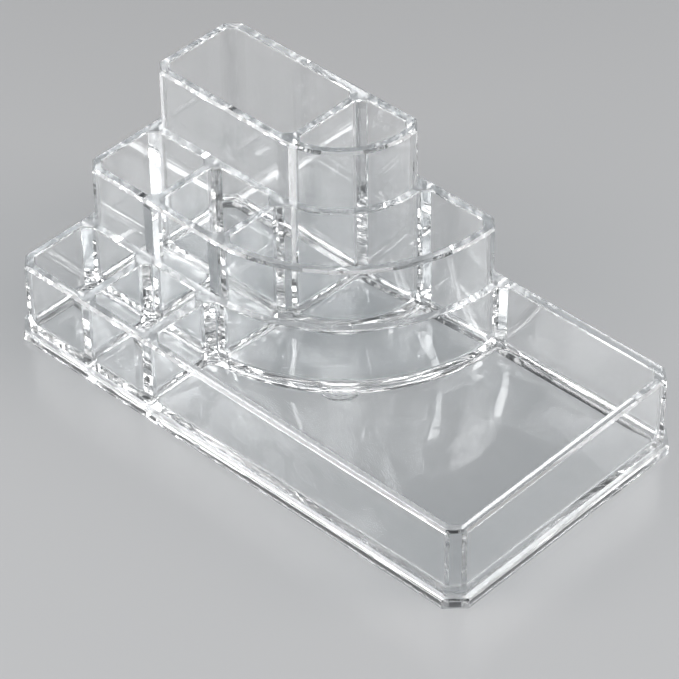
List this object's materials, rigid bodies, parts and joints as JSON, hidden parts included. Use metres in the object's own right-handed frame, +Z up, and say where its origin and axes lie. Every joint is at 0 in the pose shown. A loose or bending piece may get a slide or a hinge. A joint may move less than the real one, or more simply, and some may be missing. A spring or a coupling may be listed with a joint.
{
  "type": "vanity organizer",
  "caption": "Clear stepped cosmetics organizer: a low tray, a middle tier and a top tier with curved corners, split by upright dividers into pockets.",
  "frame": {"origin": "bottom centre of the bounding box, on the face it rests on", "axes": "+X along the length to the open end of the low tray, +Y from the low front to the high back, +Z up"},
  "size_m": [0.175, 0.0944, 0.0656],
  "materials": {
    "clear_plastic": "clear, polished, moulded"
  },
  "bodies": {
    "root": {"base": "clear_plastic", "tray_wall": "clear_plastic", "tray_inner_wall": "clear_plastic", "tray_divider_left": "clear_plastic", "tray_divider_right": "clear_plastic", "middle_wall": "clear_plastic", "middle_inner_wall": "clear_plastic", "middle_divider_left": "clear_plastic", "middle_divider_right": "clear_plastic", "top_wall": "clear_plastic", "top_divider": "clear_plastic"}
  },
  "joints": []
}
